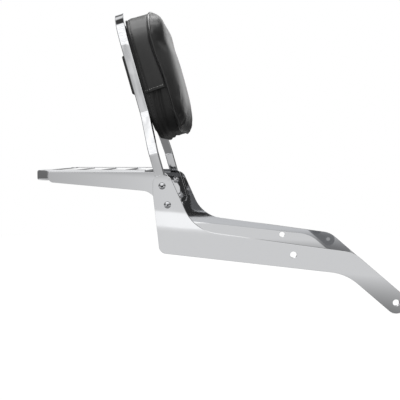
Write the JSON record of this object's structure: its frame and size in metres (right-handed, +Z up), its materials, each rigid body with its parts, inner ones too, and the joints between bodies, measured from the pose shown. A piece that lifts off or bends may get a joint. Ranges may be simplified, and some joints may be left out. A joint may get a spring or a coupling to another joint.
{
  "type": "sissy bar",
  "caption": "Chromed motorbike backrest hoop with a padded black cushion and a slatted luggage rack, bolted between two side plates for the fender struts.",
  "frame": {"origin": "on the centre plane, on the axis through the front mounting holes of the two side plates", "axes": "+X forward along the bike, +Y to the bike's left, +Z up"},
  "size_m": [0.4787, 0.2546, 0.3925],
  "materials": {
    "chrome_plate": "polished",
    "chrome_bar": "polished",
    "chrome_fastener": "polished",
    "zinc_fastener": "zinc plated",
    "pad_vinyl": "fine grain, satin",
    "black_board": "matt",
    "black_paint": "satin"
  },
  "bodies": {
    "root": {"side_plate_right": "chrome_plate", "side_plate_left": "chrome_plate", "backrest_hoop": "chrome_bar", "rack_rail": "chrome_bar", "rack_side_right": "chrome_plate", "rack_side_left": "chrome_plate", "pad_cushion": "pad_vinyl", "pad_base_board": "black_board", "pad_clamp_plate": "black_paint", "rack_slat_1": "chrome_bar", "hoop_bolt_1": "chrome_fastener", "hoop_washer_1": "chrome_fastener", "hoop_dome_nut_1": "chrome_fastener", "pad_screw_1": "zinc_fastener", "pad_washer_1": "zinc_fastener", "pad_tee_nut_1": "zinc_fastener", "rack_slat_2": "chrome_bar", "hoop_bolt_2": "chrome_fastener", "hoop_washer_2": "chrome_fastener", "hoop_dome_nut_2": "chrome_fastener", "pad_screw_2": "zinc_fastener", "pad_washer_2": "zinc_fastener", "pad_tee_nut_2": "zinc_fastener", "rack_slat_3": "chrome_bar", "hoop_bolt_3": "chrome_fastener", "hoop_washer_3": "chrome_fastener", "hoop_dome_nut_3": "chrome_fastener", "pad_screw_3": "zinc_fastener", "pad_washer_3": "zinc_fastener", "pad_tee_nut_3": "zinc_fastener", "rack_slat_4": "chrome_bar", "hoop_bolt_4": "chrome_fastener", "hoop_washer_4": "chrome_fastener", "hoop_dome_nut_4": "chrome_fastener", "pad_screw_4": "zinc_fastener", "pad_washer_4": "zinc_fastener", "pad_tee_nut_4": "zinc_fastener"}
  },
  "joints": []
}
